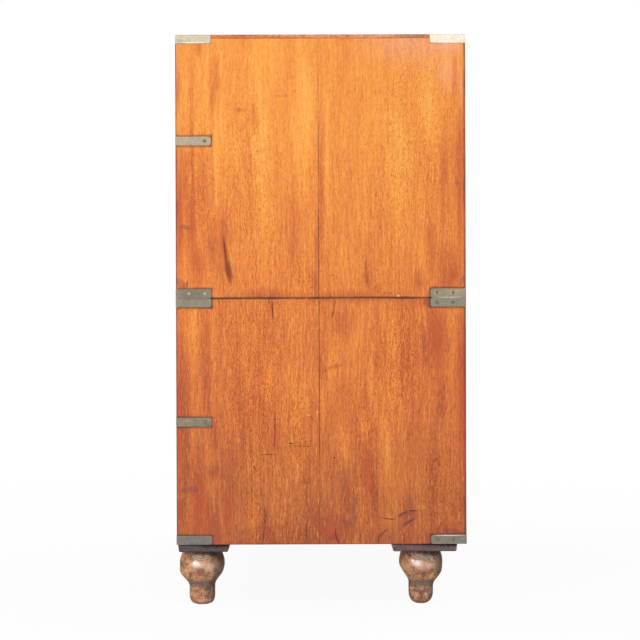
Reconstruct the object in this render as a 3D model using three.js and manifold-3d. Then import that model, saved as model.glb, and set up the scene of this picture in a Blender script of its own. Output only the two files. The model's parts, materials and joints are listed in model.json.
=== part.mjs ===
// Campaign chest of drawers in two cases that come apart for travel.
// Millimetres, +Z up, front towards -Y, origin on the floor under the middle of the chest.

import * as THREE from 'three';
import { mergeVertices } from 'three/addons/utils/BufferGeometryUtils.js';
import Module from 'manifold-3d';

// Clearances
const gap = 0.3; // between pieces that touch
const overrun = 1; // how far a cutter or a joined block reaches past a face
const drawerSideClearance = 1;
const drawerTopClearance = 1.2;
const drawerBackClearance = 12;

// Cases
const caseWidth = 965;
const caseDepth = 508;
const lowerHeight = 432;
const upperHeight = 461;
const sideThick = 19;
const boardThick = 16; // bottoms, dividers, upright and the lower case's top
const topExtra = 2; // how much thicker the top board is than the other boards
const topLap = 6.5; // lip of the top board over the ends of the sides
const sideLap = 6.5; // skin of a side outside a board that is let into it
const backThick = 12;
const dadoDepth = 6;
const lowerDividerHeight = 215; // middle of a divider above the base of its case
const upperDividerHeight = 275;

// Stop blocks behind the drawer fronts
const stopLength = 40;
const stopDepth = 18;
const stopHeight = 5;
const stopInset = 90; // from the end of a drawer's opening to its stop

// Pegs that hold the upper case in place on the lower one
const pegRadius = 8;
const pegHeight = 12;
const pegInset = 70; // from the end of the chest to the peg's axis

// Battens under the lower case
const battenThick = 13;
const battenTaper = 1.5; // how far each long edge leans in towards the floor
const battenEndInset = 2;
const frontBattenWidth = 89;
const frontBattenInset = 2;
const rearBattenWidth = 114;
const rearBattenInset = 16;

// Turned feet
const footHeight = 96;
const bulbRadius = 39;
const bulbHeight = 74; // widest ring above the floor
const bulbRise = 38; // half height of the bulb above and below that ring
const bulbDrop = 42;
const footPegRadius = 22;
const footEdgeRadius = 8;
const spigotRadius = 12;
const spigotLength = 20;
const footFromEnd = 45;
const frontFootInset = 42;
const rearFootInset = 78;

// Brass let into the corners and edges
const strapWidth = boardThick; // a strap covers the edge of the board behind it
const strapLength = 62.5;
const strapThick = 2;
const strapProud = 0.4;

// Drawers
const drawerFrontThick = 20;
const drawerSideThick = 10;
const drawerSideDrop = 4; // sides and back end this far below the top of the front
const drawerBottomThick = 6;
const drawerBottomLift = 8;

// Flush handles
const panWidth = 84;
const panHeight = 36;
const panDepth = 11;
const panEndWall = 3;
const panWall = 2.5;
const flangeWidth = 10;
const flangeHeight = 8;
const flangeThick = 2;
const bailBar = 6;
const bailThick = 5;
const bailCorner = 9;
const bailClearance = 1;
const pinRadius = 1.5;

// How finely round shapes are cut
const turnedSides = 20;
const pegSides = 16;
const pinSides = 10;
const cornerSteps = 3;
const bulbSteps = 6;

// Places that follow from the sizes
const halfWidth = caseWidth / 2;
const halfDepth = caseDepth / 2;
const innerHalf = halfWidth - sideThick;
const letInHalf = halfWidth - sideLap - gap;
const topThick = boardThick + topExtra;
const battenBase = footHeight + gap;
const lowerBase = battenBase + battenThick + gap;
const upperBase = lowerBase + lowerHeight + gap;
const footX = halfWidth - footFromEnd;
const frontFootY = frontFootInset - halfDepth;
const rearFootY = halfDepth - rearFootInset;
const spigotTop = footHeight + spigotLength;
const pegX = halfWidth - pegInset;
const drawerLength = caseDepth - backThick - drawerBackClearance;
const panTopToPivot = Math.hypot(bailBar, bailThick) / 2 + bailClearance;
const pivotHeight = panHeight / 2 - panTopToPivot;
const pivotDepth = gap + bailThick / 2;
const bailDrop = panHeight - panTopToPivot - bailClearance;
const bailHalf = panWidth / 2 - bailClearance;

// Materials
const finish = (color, roughness, metalness = 0) =>
  new THREE.MeshStandardMaterial({ color, roughness, metalness });
const caseWood = finish(0xc9783d, 0.42);
const liningWood = finish(0xb98a58, 0.7);
const battenWood = finish(0x5a4042, 0.6);
const footWood = finish(0x9c6b48, 0.35);
const brass = finish(0xa59c78, 0.45, 0.9);

// Solids

const wasm = await Module();
wasm.setup();

function solidOf(geometry) {
  const bare = geometry.clone();
  bare.deleteAttribute('normal');
  bare.deleteAttribute('uv');
  const merged = mergeVertices(bare);
  const vertProperties = new Float32Array(merged.attributes.position.array);
  const triVerts = new Uint32Array(merged.index.array);
  return new wasm.Manifold(new wasm.Mesh({ numProp: 3, vertProperties, triVerts }));
}

function geometryOf(solid) {
  const { vertProperties, triVerts } = solid.getMesh();
  const geometry = new THREE.BufferGeometry();
  geometry.setAttribute('position', new THREE.BufferAttribute(vertProperties, 3));
  geometry.setIndex(new THREE.BufferAttribute(triVerts, 1));
  geometry.computeVertexNormals();
  return geometry;
}

function joined(geometries) {
  const solids = geometries.map(solidOf);
  return geometryOf(solids.reduce((whole, piece) => whole.add(piece)));
}

function carved(geometry, cutters) {
  const start = solidOf(geometry);
  return geometryOf(cutters.reduce((left, cutter) => left.subtract(solidOf(cutter)), start));
}

// A box between two opposite corners, in any order
function block(from, to) {
  const size = from.map((value, axis) => Math.abs(to[axis] - value));
  const middle = from.map((value, axis) => (to[axis] + value) / 2);
  return new THREE.BoxGeometry(...size).translate(...middle);
}

// An upright cylinder standing on a point
function post(radius, height, sides, x, y, z) {
  const cylinder = new THREE.CylinderGeometry(radius, radius, height, sides);
  return cylinder.rotateX(Math.PI / 2).translate(x, y, z + height / 2);
}

// Radius of a faceted hole that a faceted shaft can turn in
function holeRadius(shaftRadius, sides) {
  return (shaftRadius + gap) / Math.cos(Math.PI / sides);
}

function mesh(name, geometry, material, x = 0, y = 0, z = 0, turn = 0) {
  const piece = new THREE.Mesh(geometry, material);
  piece.name = name;
  piece.position.set(x, y, z);
  piece.rotation.z = turn;
  return piece;
}

// Brass

// An angle round an upright edge at the origin, with arms along +X and +Y, its lower edge at z = 0.
// The shape grown by a margin is the cutter for the recess that the angle lies in.
function anglePlates(margin) {
  const outside = -strapProud - margin;
  const inside = strapThick - strapProud + margin;
  const end = strapLength - strapProud + margin;
  const foot = -margin;
  const head = strapWidth + margin;
  return [
    block([outside, outside, foot], [inside, end, head]),
    block([outside, outside, foot], [end, inside, head]),
  ];
}

// The same angle with two arms that lie on the top as well, for the corners of the top board
function cappedPlates(margin) {
  const outside = -strapProud - margin;
  const across = strapWidth - strapProud + margin;
  const end = strapLength - strapProud + margin;
  const under = strapWidth - strapThick - margin;
  const over = strapWidth + margin;
  return [
    ...anglePlates(margin),
    block([outside, outside, under], [across, end, over]),
    block([outside, outside, under], [end, across, over]),
  ];
}

const angle = joined(anglePlates(0));
const cappedAngle = joined(cappedPlates(0));
const angleRecess = joined(anglePlates(gap));
const cappedRecess = joined(cappedPlates(gap));

const frontCorners = [
  { place: 'front_left', x: -halfWidth, y: -halfDepth, turn: 0 },
  { place: 'front_right', x: halfWidth, y: -halfDepth, turn: Math.PI / 2 },
];
const allCorners = [
  ...frontCorners,
  { place: 'rear_right', x: halfWidth, y: halfDepth, turn: Math.PI },
  { place: 'rear_left', x: -halfWidth, y: halfDepth, turn: -Math.PI / 2 },
];

// Each set of brass: its name, its shape, its recess, the height of its lower edge and its corners
const upperBrass = [
  {
    name: 'corner_top',
    shape: cappedAngle,
    recess: cappedRecess,
    z: upperHeight + strapProud - strapWidth,
    corners: allCorners,
  },
  {
    name: 'strap_upper',
    shape: angle,
    recess: angleRecess,
    z: upperDividerHeight - strapWidth / 2,
    corners: frontCorners,
  },
  { name: 'corner_upper_base', shape: angle, recess: angleRecess, z: 0, corners: allCorners },
];
const lowerBrass = [
  {
    name: 'corner_lower_top',
    shape: angle,
    recess: angleRecess,
    z: lowerHeight - strapWidth,
    corners: allCorners,
  },
  {
    name: 'strap_lower',
    shape: angle,
    recess: angleRecess,
    z: lowerDividerHeight - strapWidth / 2,
    corners: frontCorners,
  },
  { name: 'corner_lower_base', shape: angle, recess: angleRecess, z: 0, corners: allCorners },
];

function brassPieces(sets) {
  return sets.flatMap(({ name, shape, z, corners }) =>
    corners.map(({ place, x, y, turn }) => mesh(`${name}_${place}`, shape, brass, x, y, z, turn)));
}

function brassRecesses(sets) {
  return sets.flatMap(({ recess, z, corners }) =>
    corners.map(({ x, y, turn }) => recess.clone().rotateZ(turn).translate(x, y, z)));
}

// Boards of a case, in the case's own frame with its base at z = 0

// The end board: housings for the bottom, the divider and, in the lower case, the top
function sideBoard(sign, height, dividerHeight, lappedTop) {
  const inner = sign * (innerHalf - overrun);
  const lapFace = sign * (halfWidth - sideLap);
  const dadoFace = sign * (innerHalf + dadoDepth);
  const front = -halfDepth - overrun;
  const backFace = halfDepth - backThick;
  const dadoHalf = boardThick / 2 + gap;
  const head = lappedTop ? height - topLap - gap : height;
  const housings = [
    block([inner, front, -overrun], [lapFace, backFace, boardThick + gap]),
    block([inner, front, dividerHeight - dadoHalf], [dadoFace, backFace, dividerHeight + dadoHalf]),
  ];
  if (!lappedTop) {
    const topSeat = height - boardThick - gap;
    housings.push(block([inner, front, topSeat], [lapFace, halfDepth + overrun, height + overrun]));
  }
  const board = block([sign * innerHalf, -halfDepth, 0], [sign * halfWidth, halfDepth, head]);
  return carved(board, housings);
}

// Two stop blocks on a board, behind the front of the drawer that runs between two ends
function stopBlocks(left, right, boardTop) {
  const front = drawerFrontThick + gap - halfDepth;
  const starts = [left + stopInset, right - stopInset - stopLength];
  return starts.map((x) =>
    block([x, front, boardTop - overrun], [x + stopLength, front + stopDepth, boardTop + stopHeight]));
}

function bottomBoard() {
  const board = block([-letInHalf, -halfDepth, 0], [letInHalf, halfDepth - backThick - gap, boardThick]);
  return joined([board, ...stopBlocks(-innerHalf, innerHalf, boardThick)]);
}

function dividerBoard(height, openings) {
  const end = innerHalf + dadoDepth - gap;
  const top = height + boardThick / 2;
  const board = block([-end, -halfDepth, top - boardThick], [end, halfDepth - backThick - gap, top]);
  return joined([board, ...openings.flatMap(([left, right]) => stopBlocks(left, right, top))]);
}

function backBoard(head) {
  const end = innerHalf - gap;
  return block([-end, halfDepth - backThick, 0], [end, halfDepth, head - gap]);
}

function lowerTopBoard() {
  const under = lowerHeight - boardThick;
  const board = block([-letInHalf, -halfDepth, under], [letInHalf, halfDepth, lowerHeight]);
  const foot = lowerHeight - overrun;
  const pegs = [-pegX, pegX].map((x) => post(pegRadius, pegHeight + overrun, pegSides, x, 0, foot));
  return joined([board, ...pegs]);
}

function upperTopBoard() {
  const end = innerHalf - gap;
  const lip = block([-halfWidth, -halfDepth, upperHeight - topLap], [halfWidth, halfDepth, upperHeight]);
  const panel = block([-end, -halfDepth, upperHeight - topThick], [end, halfDepth, upperHeight]);
  return joined([lip, panel]);
}

function uprightBoard() {
  const foot = upperDividerHeight + boardThick / 2 + gap;
  const head = upperHeight - topThick - gap;
  const half = boardThick / 2;
  return block([-half, -halfDepth, foot], [half, halfDepth - backThick - gap, head]);
}

// Holes in the bottoms: blind ones for the feet's spigots below, and for the pegs above
function spigotHoles(fromZ, toZ) {
  const radius = holeRadius(spigotRadius, pegSides);
  return [frontFootY, rearFootY].flatMap((y) =>
    [-footX, footX].map((x) => post(radius, toZ - fromZ, pegSides, x, y, fromZ)));
}

function pegHoles() {
  const radius = holeRadius(pegRadius, pegSides);
  const depth = pegHeight + gap;
  return [-pegX, pegX].map((x) => post(radius, depth + overrun, pegSides, x, 0, -overrun));
}

function caseGroup(prefix, z, boards, brassSets) {
  const group = new THREE.Group();
  group.position.z = z;
  const recesses = brassRecesses(brassSets);
  for (const [name, board] of Object.entries(boards)) {
    group.add(mesh(`${prefix}_${name}`, carved(board, recesses), caseWood));
  }
  group.add(...brassPieces(brassSets));
  return group;
}

const fullOpening = [[-innerHalf, innerHalf]];
const halfOpenings = [[-innerHalf, -boardThick / 2], [boardThick / 2, innerHalf]];

function lowerCase() {
  const holes = spigotHoles(-overrun, spigotTop + gap - lowerBase);
  return caseGroup('lower', lowerBase, {
    side_left: sideBoard(-1, lowerHeight, lowerDividerHeight, false),
    side_right: sideBoard(1, lowerHeight, lowerDividerHeight, false),
    top: lowerTopBoard(),
    bottom: carved(bottomBoard(), holes),
    divider: dividerBoard(lowerDividerHeight, fullOpening),
    back: backBoard(lowerHeight - boardThick),
  }, lowerBrass);
}

function upperCase() {
  return caseGroup('upper', upperBase, {
    side_left: sideBoard(-1, upperHeight, upperDividerHeight, true),
    side_right: sideBoard(1, upperHeight, upperDividerHeight, true),
    top: upperTopBoard(),
    bottom: carved(bottomBoard(), pegHoles()),
    divider: dividerBoard(upperDividerHeight, halfOpenings),
    upright: uprightBoard(),
    back: backBoard(upperHeight - topThick),
  }, upperBrass);
}

// Battens and feet

// A batten across the chest between two depths, its long edges leaning in towards the floor
function batten(name, front, rear) {
  const head = battenBase + battenThick;
  const section = new THREE.Shape();
  section.moveTo(front + battenTaper, battenBase);
  section.lineTo(rear - battenTaper, battenBase);
  section.lineTo(rear, head);
  section.lineTo(front, head);
  section.closePath();
  const length = caseWidth - 2 * battenEndInset;
  const bar = new THREE.ExtrudeGeometry(section, { depth: length, bevelEnabled: false });
  bar.translate(0, 0, -length / 2).rotateX(Math.PI / 2).rotateZ(Math.PI / 2);
  return mesh(name, carved(bar, spigotHoles(battenBase - overrun, head + overrun)), battenWood);
}

function battens() {
  const front = frontBattenInset - halfDepth;
  const rear = halfDepth - rearBattenInset;
  return [
    batten('batten_front', front, front + frontBattenWidth),
    batten('batten_rear', rear - rearBattenWidth, rear),
  ];
}

// Points of an arc of an ellipse round a centre, from one angle to another
function arc(centreX, centreY, radiusX, radiusY, fromAngle, toAngle, steps) {
  return Array.from({ length: steps + 1 }, (_, step) => {
    const turn = fromAngle + ((toAngle - fromAngle) * step) / steps;
    return new THREE.Vector2(centreX + radiusX * Math.cos(turn), centreY + radiusY * Math.sin(turn));
  });
}

// The foot's outline from the floor up: rounded peg, bulb, and the spigot that screws into the case
function turnedFoot() {
  const pegMeetsBulb = -Math.acos(footPegRadius / bulbRadius);
  const bulbMeetsBatten = Math.asin((footHeight - bulbHeight) / bulbRise);
  const edgeX = footPegRadius - footEdgeRadius;
  const outline = [
    new THREE.Vector2(0, 0),
    ...arc(edgeX, footEdgeRadius, footEdgeRadius, footEdgeRadius, -Math.PI / 2, 0, cornerSteps),
    ...arc(0, bulbHeight, bulbRadius, bulbDrop, pegMeetsBulb, 0, bulbSteps),
    ...arc(0, bulbHeight, bulbRadius, bulbRise, 0, bulbMeetsBatten, cornerSteps).slice(1),
    new THREE.Vector2(spigotRadius, footHeight),
    new THREE.Vector2(spigotRadius, spigotTop),
    new THREE.Vector2(0, spigotTop),
  ];
  return new THREE.LatheGeometry(outline, turnedSides).rotateX(Math.PI / 2);
}

function feet() {
  const foot = turnedFoot();
  return [
    mesh('foot_front_left', foot, footWood, -footX, frontFootY),
    mesh('foot_front_right', foot, footWood, footX, frontFootY),
    mesh('foot_rear_left', foot, footWood, -footX, rearFootY),
    mesh('foot_rear_right', foot, footWood, footX, rearFootY),
  ];
}

// Handles, in a frame with the drawer's face at y = 0 and the handle's middle at the origin

// The flange and pan, grown by a margin for the recess in the drawer front
function plateBlocks(margin) {
  const panX = panWidth / 2 + panEndWall + margin;
  const panZ = panHeight / 2 + panWall + margin;
  const flangeX = panWidth / 2 + flangeWidth + margin;
  const flangeZ = panHeight / 2 + flangeHeight + margin;
  const face = margin > 0 ? -overrun : 0;
  return [
    block([-panX, face, -panZ], [panX, panDepth + panWall + margin, panZ]),
    block([-flangeX, face, -flangeZ], [flangeX, flangeThick + margin, flangeZ]),
  ];
}

// A short round bar along X, from one x to another, on the handle's pivot line
function pivotBar(radius, fromX, toX, y, z) {
  const bar = new THREE.CylinderGeometry(radius, radius, Math.abs(toX - fromX), pinSides);
  return bar.rotateZ(Math.PI / 2).translate((fromX + toX) / 2, y, z);
}

function handlePlate() {
  const cavity = block([-panWidth / 2, -overrun, -panHeight / 2], [panWidth / 2, panDepth, panHeight / 2]);
  const radius = holeRadius(pinRadius, pinSides);
  const from = panWidth / 2 - overrun;
  const to = panWidth / 2 + panEndWall + gap;
  const holes = [-1, 1].map((sign) => pivotBar(radius, sign * from, sign * to, pivotDepth, pivotHeight));
  return carved(joined(plateBlocks(0)), [cavity, ...holes]);
}

// The bail hangs from its pivot line at the origin: two arms with round ends and a grip between them
function bailHandle() {
  const cornerX = bailHalf - bailCorner;
  const cornerZ = bailCorner - bailDrop;
  const inside = bailCorner - bailBar;
  const end = bailBar / 2;
  const outline = new THREE.Shape();
  outline.moveTo(-bailHalf, 0);
  outline.absarc(-cornerX, cornerZ, bailCorner, Math.PI, 1.5 * Math.PI);
  outline.absarc(cornerX, cornerZ, bailCorner, 1.5 * Math.PI, 2 * Math.PI);
  outline.absarc(bailHalf - end, 0, end, 0, Math.PI);
  outline.absarc(cornerX, cornerZ, inside, 0, -Math.PI / 2, true);
  outline.absarc(-cornerX, cornerZ, inside, -Math.PI / 2, -Math.PI, true);
  outline.absarc(end - bailHalf, 0, end, 0, Math.PI);
  const extrusion = { depth: bailThick, bevelEnabled: false, curveSegments: cornerSteps };
  const bar = new THREE.ExtrudeGeometry(outline, extrusion);
  bar.translate(0, 0, -bailThick / 2).rotateX(Math.PI / 2);
  const from = bailHalf - end;
  const to = panWidth / 2 + panEndWall - gap;
  return joined([bar, ...[-1, 1].map((sign) => pivotBar(pinRadius, sign * from, sign * to, 0, 0))]);
}

const plateShape = handlePlate();
const bailShape = bailHandle();
const plateRecess = joined(plateBlocks(gap));

// Drawers

// A drawer in its own frame: middle of the front's lower edge at the origin, depth along +Y
function drawerBox(width, height, handleXs) {
  const half = width / 2;
  const head = height - drawerSideDrop;
  const innerHalfWidth = half - drawerSideThick;
  const floorTop = drawerBottomLift + drawerBottomThick;
  const backFace = drawerLength - drawerSideThick;
  const boards = [
    block([-half, 0, 0], [half, drawerFrontThick, height]),
    block([-half, 0, 0], [-innerHalfWidth, drawerLength, head]),
    block([innerHalfWidth, 0, 0], [half, drawerLength, head]),
    block([-half, 0, drawerBottomLift], [half, drawerLength, floorTop]),
    block([-half, backFace, drawerBottomLift], [half, drawerLength, head]),
  ];
  const recesses = handleXs.map((x) => plateRecess.clone().translate(x, 0, height / 2));
  return carved(joined(boards), recesses);
}

// One drawer with its handles, between the ends and the heights of its opening
function drawerGroup(name, ends, opening, handles) {
  const [left, right] = ends;
  const [foot, head] = opening;
  const width = right - left - 2 * drawerSideClearance;
  const height = head - foot - gap - drawerTopClearance;
  const group = new THREE.Group();
  group.position.set((left + right) / 2, -halfDepth, foot + gap);
  const handlePlaces = Object.entries(handles(width));
  group.add(mesh(name, drawerBox(width, height, handlePlaces.map(([, x]) => x)), liningWood));
  for (const [place, x] of handlePlaces) {
    const handle = new THREE.Group();
    handle.position.set(x, 0, height / 2);
    handle.add(mesh(`plate_${name}${place}`, plateShape, brass));
    handle.add(mesh(`bail_${name}${place}`, bailShape, brass, 0, pivotDepth, pivotHeight));
    group.add(handle);
  }
  return group;
}

const oneHandle = () => ({ '': 0 });
const twoHandles = (width) => ({ _left: -width / 4, _right: width / 4 });

function drawers() {
  const half = boardThick / 2;
  const [leftOpening, rightOpening] = halfOpenings;
  const [wholeOpening] = fullOpening;
  const bottomRow = [lowerBase + boardThick, lowerBase + lowerDividerHeight - half];
  const middleRow = [lowerBase + lowerDividerHeight + half, lowerBase + lowerHeight - boardThick];
  const upperRow = [upperBase + boardThick, upperBase + upperDividerHeight - half];
  const shortRow = [upperBase + upperDividerHeight + half, upperBase + upperHeight - topThick];
  return [
    drawerGroup('short_drawer_left', leftOpening, shortRow, oneHandle),
    drawerGroup('short_drawer_right', rightOpening, shortRow, oneHandle),
    drawerGroup('long_drawer_upper', wholeOpening, upperRow, twoHandles),
    drawerGroup('long_drawer_middle', wholeOpening, middleRow, twoHandles),
    drawerGroup('long_drawer_bottom', wholeOpening, bottomRow, twoHandles),
  ];
}

const chest = new THREE.Group();
chest.add(lowerCase(), upperCase(), ...battens(), ...feet(), ...drawers());

export default chest;
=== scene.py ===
import json
import math

import bmesh
import bpy
from mathutils import Matrix, Vector


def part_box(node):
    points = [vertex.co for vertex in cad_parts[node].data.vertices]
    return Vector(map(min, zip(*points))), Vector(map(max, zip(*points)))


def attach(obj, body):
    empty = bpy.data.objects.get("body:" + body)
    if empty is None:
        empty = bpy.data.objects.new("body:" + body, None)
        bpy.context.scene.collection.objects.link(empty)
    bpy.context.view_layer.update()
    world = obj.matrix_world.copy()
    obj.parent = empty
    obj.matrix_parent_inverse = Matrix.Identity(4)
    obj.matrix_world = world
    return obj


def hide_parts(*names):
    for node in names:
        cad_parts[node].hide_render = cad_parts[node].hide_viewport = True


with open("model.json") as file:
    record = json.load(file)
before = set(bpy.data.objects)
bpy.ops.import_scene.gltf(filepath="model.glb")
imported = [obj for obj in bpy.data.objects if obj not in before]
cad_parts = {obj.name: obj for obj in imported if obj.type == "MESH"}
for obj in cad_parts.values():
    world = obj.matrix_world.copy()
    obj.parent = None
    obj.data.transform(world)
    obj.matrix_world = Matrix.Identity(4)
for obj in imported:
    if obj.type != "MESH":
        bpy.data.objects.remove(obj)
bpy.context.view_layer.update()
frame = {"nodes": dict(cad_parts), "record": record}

nodes = frame["nodes"]
bodies = frame["record"]["behaviour"]["bodies"]
bodyOf = {node: body for body, members in bodies.items() for node in members}
mm = 0.001

# The camera looks square at the right-hand end of the chest, from across a room
cameraLook = {
    "place": (3.6825, -0.013, 0.5211),
    "turn": 0.201,  # degrees to the right of straight on
    "tilt": -0.325,
    "roll": -0.18,
    "lens": 102.756,
}


def makeCamera():
    turn, tilt, roll = (math.radians(cameraLook[key]) for key in ("turn", "tilt", "roll"))
    forward = Vector((-math.cos(turn) * math.cos(tilt), math.sin(turn) * math.cos(tilt), math.sin(tilt)))
    level = forward.cross(Vector((0, 0, 1))).normalized()
    upright = level.cross(forward)
    right = math.cos(roll) * level + math.sin(roll) * upright
    top = math.cos(roll) * upright - math.sin(roll) * level
    camera = bpy.data.objects.new("camera", bpy.data.cameras.new("camera"))
    camera.data.lens = cameraLook["lens"]
    camera.data.sensor_width = 36
    turned = Matrix((right, top, -forward)).transposed().to_4x4()
    camera.matrix_world = Matrix.Translation(cameraLook["place"]) @ turned
    bpy.context.scene.collection.objects.link(camera)
    bpy.context.scene.camera = camera


makeCamera()
print("camera in place")


# Shader maths: a Signal is an output that Python's operators work on, and a Paint makes the nodes
class Signal:
    def __init__(self, paint, socket):
        self.paint = paint
        self.socket = socket

    def __add__(self, other):
        return self.paint.math("ADD", self, other)

    def __radd__(self, other):
        return self.paint.math("ADD", other, self)

    def __sub__(self, other):
        return self.paint.math("SUBTRACT", self, other)

    def __mul__(self, other):
        return self.paint.math("MULTIPLY", self, other)

    def __abs__(self):
        return self.paint.math("ABSOLUTE", self)


class Paint:
    def __init__(self, owner):
        owner.use_nodes = True
        self.owner = owner
        self.tree = owner.node_tree
        self.tree.nodes.clear()
        self.place = self.node("ShaderNodeTexCoord", output="Object")
        self.facing = self.node("ShaderNodeTexCoord", output="Normal")

    def node(self, kind, settings={}, values={}, output=0):
        made = self.tree.nodes.new(kind)
        for name, value in settings.items():
            if name == "stops":
                while len(made.color_ramp.elements) > 1:
                    made.color_ramp.elements.remove(made.color_ramp.elements[0])
                made.color_ramp.elements[0].position = value[0][0]
                made.color_ramp.elements[0].color = value[0][1]
                for position, colour in value[1:]:
                    made.color_ramp.elements.new(position).color = colour
            else:
                setattr(made, name, value)
        for key, value in values.items():
            if isinstance(value, Signal):
                self.tree.links.new(value.socket, made.inputs[key])
            else:
                made.inputs[key].default_value = value
        return Signal(self, made.outputs[output]) if len(made.outputs) else None

    def math(self, operation, *values):
        return self.node("ShaderNodeMath", {"operation": operation}, dict(enumerate(values)))

    def vector(self, operation, *values, output=0):
        return self.node("ShaderNodeVectorMath", {"operation": operation}, dict(enumerate(values)), output)

    def scaled(self, vector, factors):
        return self.vector("MULTIPLY", vector, factors)

    def length(self, vector):
        return self.vector("LENGTH", vector, output="Value")

    def axis(self, name, vector=None):
        return self.node("ShaderNodeSeparateXYZ", {}, {0: vector or self.place}, output=name)

    def mix(self, factor, first, second, blend="MIX"):
        settings = {"data_type": "RGBA", "blend_type": blend}
        return self.node("ShaderNodeMix", settings, {0: factor, 6: first, 7: second}, output=2)

    def smooth(self, value, low, high, start=0, end=1):
        settings = {"interpolation_type": "SMOOTHSTEP"}
        return self.node("ShaderNodeMapRange", settings, {0: value, 1: low, 2: high, 3: start, 4: end})

    def noise(self, place, scale=1, detail=2, roughness=0.5, distortion=0, output=0):
        values = {"Vector": place, "Scale": scale, "Detail": detail, "Roughness": roughness}
        values["Distortion"] = distortion
        return self.node("ShaderNodeTexNoise", {}, values, output)

    def cells(self, place, scale):
        return self.node("ShaderNodeTexVoronoi", {}, {"Vector": place, "Scale": scale}, output="Distance")

    def ramp(self, value, stops):
        return self.node("ShaderNodeValToRGB", {"stops": stops}, {0: value})

    def highest(self, signals):
        top = signals[0]
        for signal in signals[1:]:
            top = self.math("MAXIMUM", top, signal)
        return top

    def surface(self, colour, roughness, height, bump=0.3, depth=0.2 * mm, **fixed):
        relief = self.node("ShaderNodeBump", {}, {"Strength": bump, "Distance": depth, "Height": height})
        values = {"Base Color": colour, "Roughness": roughness, "Normal": relief}
        values.update({name.replace("_", " "): value for name, value in fixed.items()})
        shader = self.node("ShaderNodeBsdfPrincipled", {}, values)
        self.node("ShaderNodeOutputMaterial", {}, {"Surface": shader})
        return self.owner


# A colour as a painter picks it, in steps of 255
def tone(red, green, blue):
    parts = [step / 255 for step in (red, green, blue)]
    return (*(part / 12.92 if part < 0.04 else ((part + 0.055) / 1.055) ** 2.4 for part in parts), 1)


# Polished teak. Sizes are in metres: width across the grain, length along it, and for some a strength.
teak = {
    "golden": tone(255, 187, 90),
    "honey": tone(247, 157, 70),
    "amber": tone(223, 125, 59),
    "russet": tone(179, 87, 52),
    "fleck": tone(204, 142, 104),
    "crack": tone(84, 38, 26),
    # tint for grime and for the painted shadow round the fittings
    "grime": tone(70, 40, 42),
    "joint": tone(92, 46, 34),
    "edge": tone(112, 52, 56),
    # tint for painted shade: duller and browner towards the floor
    "dulled": tone(246, 255, 255),
    "endDark": tone(112, 46, 34),
    "endMiddle": tone(158, 74, 46),
    "endPale": tone(176, 100, 70),
    "levels": {"golden": 0.05, "honey": 0.35, "amber": 0.62, "russet": 1},
    "endLevels": {"endDark": 0.3, "endMiddle": 0.5, "endPale": 0.7},
    "middling": 0.42,  # level of wood that nothing has darkened or bleached
    "darker": 0.26,  # levels that a stroke adds
    "paler": 0.2,  # levels that a stroke takes away
    "nextBoard": (0.31, 0.47, 0.83),  # how far away the grain of the second board is taken from
    "bands": (0.022, 0.5, 0.34),
    "clouds": (0.10, 0.35, 0.3),
    "streaks": (0.0044, 0.07, 0.37),
    "lines": (0.0034, 0.22, 0.34),
    "fibres": (0.0023, 0.012, 0.7),
    "flecks": (0.0013, 0.0046),
    "curls": (0.0036, 0.0085),
    "slivers": (0.0022, 0.020),
    "rays": (0.0034, 0.024),
    "wander": 30 * mm,  # how far the grain strays from straight
    "polish": 0.38,
    "shine": 0.3,
}
topTeak = {
    **teak,
    "endDark": tone(176, 96, 62),
    "endMiddle": tone(212, 136, 86),
    "endPale": tone(236, 178, 134),
}
grainAxes = {"X": 0, "Y": 1, "Z": 2}

# Changes up the right-hand end: between two heights, from one value to another
byHeight = {
    "figure": (0.5, 0.62, 1, 0.86),  # the upper boards are quieter
    "flecks": (0.9, 0.45, 0.7, 1),
    # darker lower down: partly the varnish's own age, partly painted shade for light that falls off lower
    # down
    "darkening": (1.02, 0.06, -0.045, 0.40),
    # darker still near the bottom
    "scuffing": (0.155, 0.118, 0, 0.12),
    # painted shade: duller and browner towards the floor
    "dulling": (0.42, 0.14, 0, 1),
    "jointAbove": (1, 0.78, 0.25, 0.7),
    "jointBelow": (0.22, 0.3, 0.2, 1),
}

# Darkening on that end: along its edges, a painted shadow round the fittings (partly grime), along the seam
# where the cases meet and at the bottom. A pair is where it begins and where it is full.
endDarkening = {
    "rearEdge": (0.2475, 0.2525),
    "frontEdge": (-0.2508, -0.2532),
    "outside": (0.4795, 0.4822),
    # how far the painted shadow round a fitting reaches
    "fromFitting": (0.0048, 0.0004),
    "seamHeight": 0.54175,
    "fromSeam": (0.0034, 0.0008),
    "bottom": (0.1118, 0.1098),
    "fromJoint": (0.0016, 0.0004),
}

# How each kind of mark shows on the wood: strength, tint and softness
woodMarking = {
    "red": (0.6, tone(190, 80, 46), 1),
    "stains": (0.5, tone(132, 70, 70), 0.6),
    "scorches": (0.8, tone(112, 38, 30), 0.7),
    # bloom and gleam are painted highlights: a pinkish sheen of light on the polish
    "bloom": (0.42, tone(240, 182, 164), 1.5),
    "gleam": (0.6, tone(240, 182, 164), 1.5),
    "specks": (0.8, tone(250, 226, 200), 0.5),
}
endPlane = 0.4825
markDepth = 0.016  # how far a mark reaches into the wood
markWobble = 2.8 * mm


# A ramp through the colours of a look, each at its own level
def shades(paint, value, look, levels="levels"):
    return paint.ramp(value, [(level, look[key]) for key, level in look[levels].items()])


# Coordinates stretched so that one unit is a given width across the grain and a given length along it
def alongGrain(paint, place, along, width, length, shift=0):
    scale = [1 / width] * 3
    scale[grainAxes[along]] = 1 / length
    return paint.vector("MULTIPLY_ADD", place, tuple(scale), (shift, shift, shift))


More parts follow.
